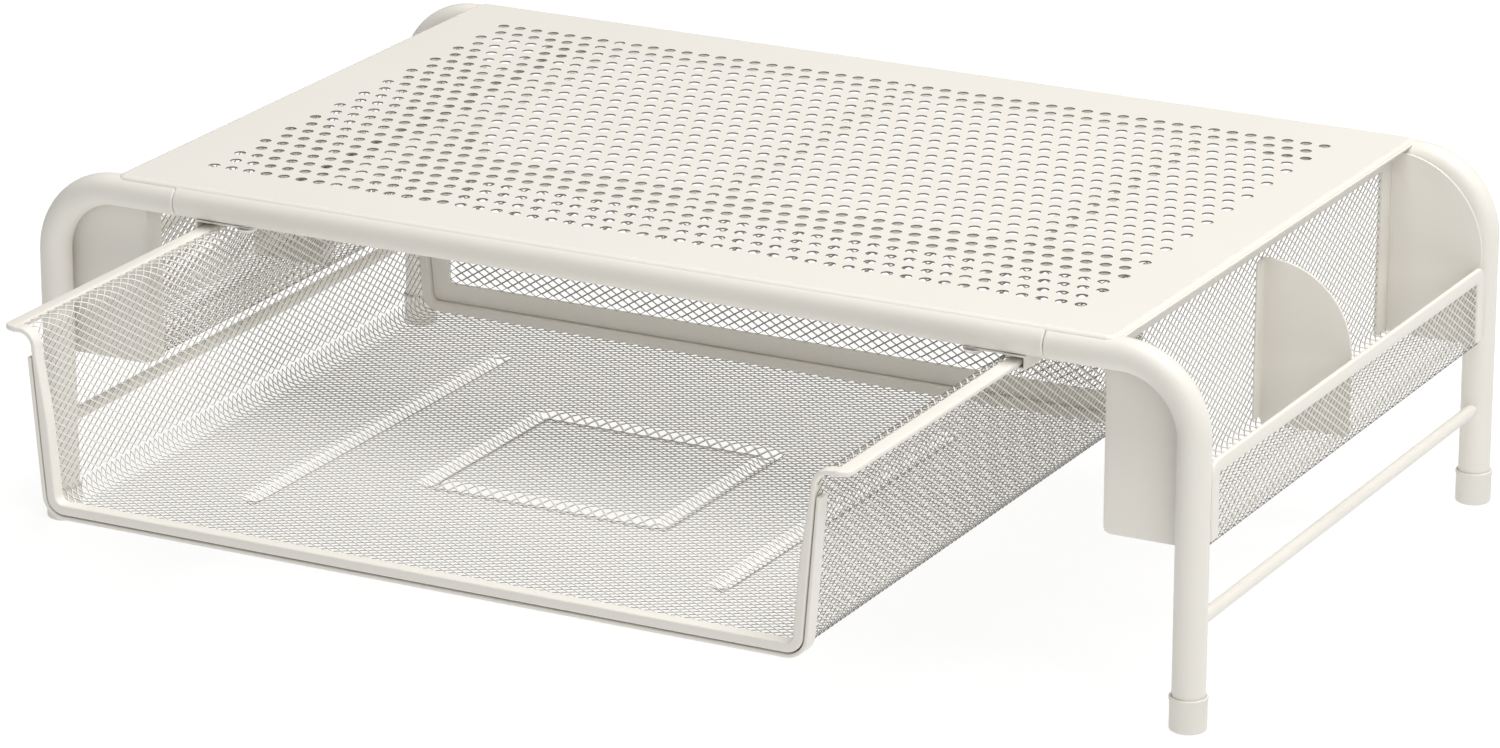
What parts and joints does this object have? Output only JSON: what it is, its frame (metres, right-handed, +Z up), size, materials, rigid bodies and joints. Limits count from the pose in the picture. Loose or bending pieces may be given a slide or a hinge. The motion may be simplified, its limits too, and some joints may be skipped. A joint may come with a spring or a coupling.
{
  "type": "monitor riser stand",
  "caption": "Metal monitor riser with a perforated top on tube legs, mesh side pockets and an open-fronted mesh drawer on slides.",
  "frame": {"origin": "middle of the footprint of the whole object with the drawer drawn out, on the desk surface", "axes": "+X to the right, +Y to the rear (the drawer opens towards -Y), +Z up"},
  "size_m": [0.5223, 0.4428, 0.1525],
  "materials": {
    "powder_coat": "satin off-white powder coat",
    "mesh_coat": "satin off-white powder coat on expanded metal",
    "screw_steel": "zinc plated",
    "foot_plastic": "soft matte plastic"
  },
  "bodies": {
    "stand": {"top_panel": "powder_coat", "stiffener_left": "powder_coat", "stiffener_center": "powder_coat", "stiffener_right": "powder_coat", "leg_front_left": "powder_coat", "leg_front_right": "powder_coat", "leg_rear_left": "powder_coat", "leg_rear_right": "powder_coat", "foot_front_left": "foot_plastic", "foot_front_right": "foot_plastic", "foot_rear_left": "foot_plastic", "foot_rear_right": "foot_plastic", "cross_rod_left": "powder_coat", "cross_rod_right": "powder_coat", "pocket_left_mesh": "mesh_coat", "pocket_left_wall_frame": "powder_coat", "pocket_left_rim": "powder_coat", "pocket_left_front_plate": "powder_coat", "pocket_left_rear_plate": "powder_coat", "pocket_left_divider": "powder_coat", "pocket_right_mesh": "mesh_coat", "pocket_right_wall_frame": "powder_coat", "pocket_right_rim": "powder_coat", "pocket_right_front_plate": "powder_coat", "pocket_right_rear_plate": "powder_coat", "pocket_right_divider": "powder_coat", "slide_left": "powder_coat", "slide_right": "powder_coat", "rail_screws": "screw_steel"},
    "drawer": {"drawer_mesh": "mesh_coat", "drawer_flange_left": "powder_coat", "drawer_flange_right": "powder_coat", "drawer_front_inner_rim": "powder_coat", "drawer_front_outer_rim": "powder_coat", "drawer_rear_rim": "powder_coat", "drawer_rear_frame": "powder_coat", "drawer_rear_mesh": "mesh_coat"}
  },
  "joints": [
    {"name": "drawer_slide", "type": "slide", "parent": "stand", "child": "drawer", "axis": [0, -1, 0], "range_m": [-0.143, 0]}
  ]
}
